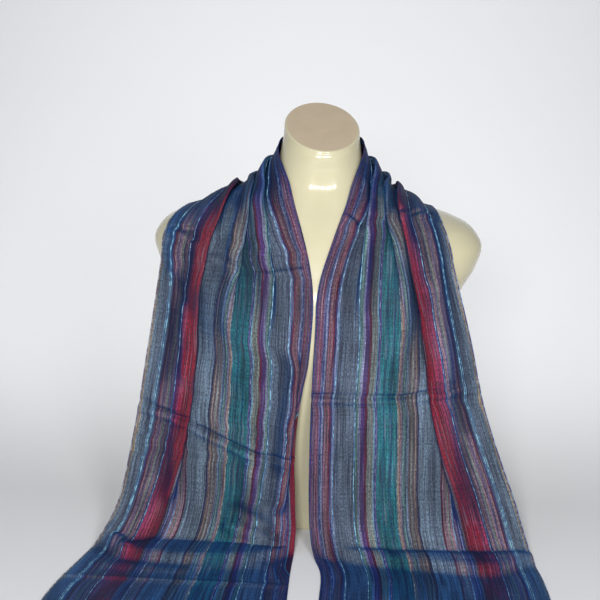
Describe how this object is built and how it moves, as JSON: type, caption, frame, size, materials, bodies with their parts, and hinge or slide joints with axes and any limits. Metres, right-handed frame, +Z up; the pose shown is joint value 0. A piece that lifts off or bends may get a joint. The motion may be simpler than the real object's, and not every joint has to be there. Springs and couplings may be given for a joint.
{
  "type": "striped scarf on a limbless dress form",
  "caption": "Long striped woven scarf, folded lengthwise and draped round the neck of a limbless dress form, both tails lying on the table.",
  "frame": {"origin": "middle of the dress form's flat base, on the surface that it stands on", "axes": "+Z up, -Y the way the form faces, where the two tails run out over the table, +X to the right as seen from the front"},
  "size_m": [0.559, 0.503, 0.5123],
  "materials": {
    "form_plastic": "glossy cream moulded plastic",
    "striped_cloth": "fine twill weave with lengthwise stripes in blue, teal, red, purple and grey",
    "hem_cloth": "the same striped cloth, turned and sewn"
  },
  "bodies": {
    "root": {"display_form": "form_plastic", "scarf_left_end": "striped_cloth", "scarf_left_fall": "striped_cloth", "scarf_left_shoulder": "striped_cloth", "scarf_nape": "striped_cloth", "scarf_right_shoulder": "striped_cloth", "scarf_right_fall": "striped_cloth", "scarf_right_end": "striped_cloth", "scarf_left_hem": "hem_cloth", "scarf_right_hem": "hem_cloth"}
  },
  "joints": []
}
